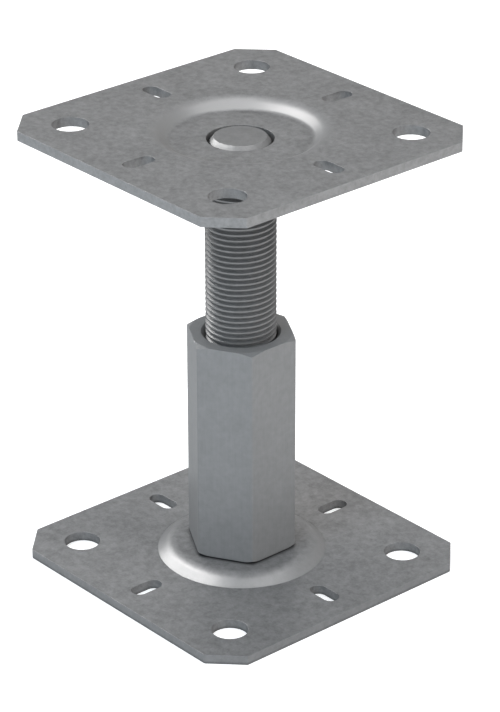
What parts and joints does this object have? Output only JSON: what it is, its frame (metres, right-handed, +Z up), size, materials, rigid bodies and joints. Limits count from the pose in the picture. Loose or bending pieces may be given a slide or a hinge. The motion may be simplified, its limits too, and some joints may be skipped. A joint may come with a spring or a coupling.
{
  "type": "adjustable post base",
  "caption": "Post base whose height is set by turning a hexagonal sleeve on a threaded rod between two pressed square plates with clipped corners, bolt holes and slots.",
  "frame": {"origin": "centre of the base plate's underside, on the surface that it stands on", "axes": "+Z up along the rod and sleeve, X and Y square to the sides of both plates, as modelled at a height of 142 mm"},
  "size_m": [0.1, 0.1, 0.142],
  "materials": {
    "plate_zinc": "matt hot-dip galvanised sheet with faint mottling",
    "sleeve_zinc": "satin galvanised hexagonal bar",
    "thread_zinc": "satin galvanised cut thread",
    "weld_zinc": "matt galvanised weld bead"
  },
  "bodies": {
    "base": {"base_plate": "plate_zinc"},
    "sleeve": {"hex_sleeve": "sleeve_zinc"},
    "carriage": {"threaded_rod": "thread_zinc", "rod_weld": "weld_zinc", "top_plate": "plate_zinc"}
  },
  "joints": [
    {"name": "sleeve_turn", "type": "hinge", "parent": "base", "child": "sleeve", "pos_m": [0, 0, 0.006], "axis": [0, 0, 1], "range_deg": [-1620, 8640]},
    {"name": "lift", "type": "slide", "parent": "base", "child": "carriage", "axis": [0, 0, 1], "range_m": [-0.042, 0.00788]}
  ],
  "couplings": [
    {"joint": "sleeve_turn", "follows": "lift", "rad_per_m": -3590.4}
  ]
}
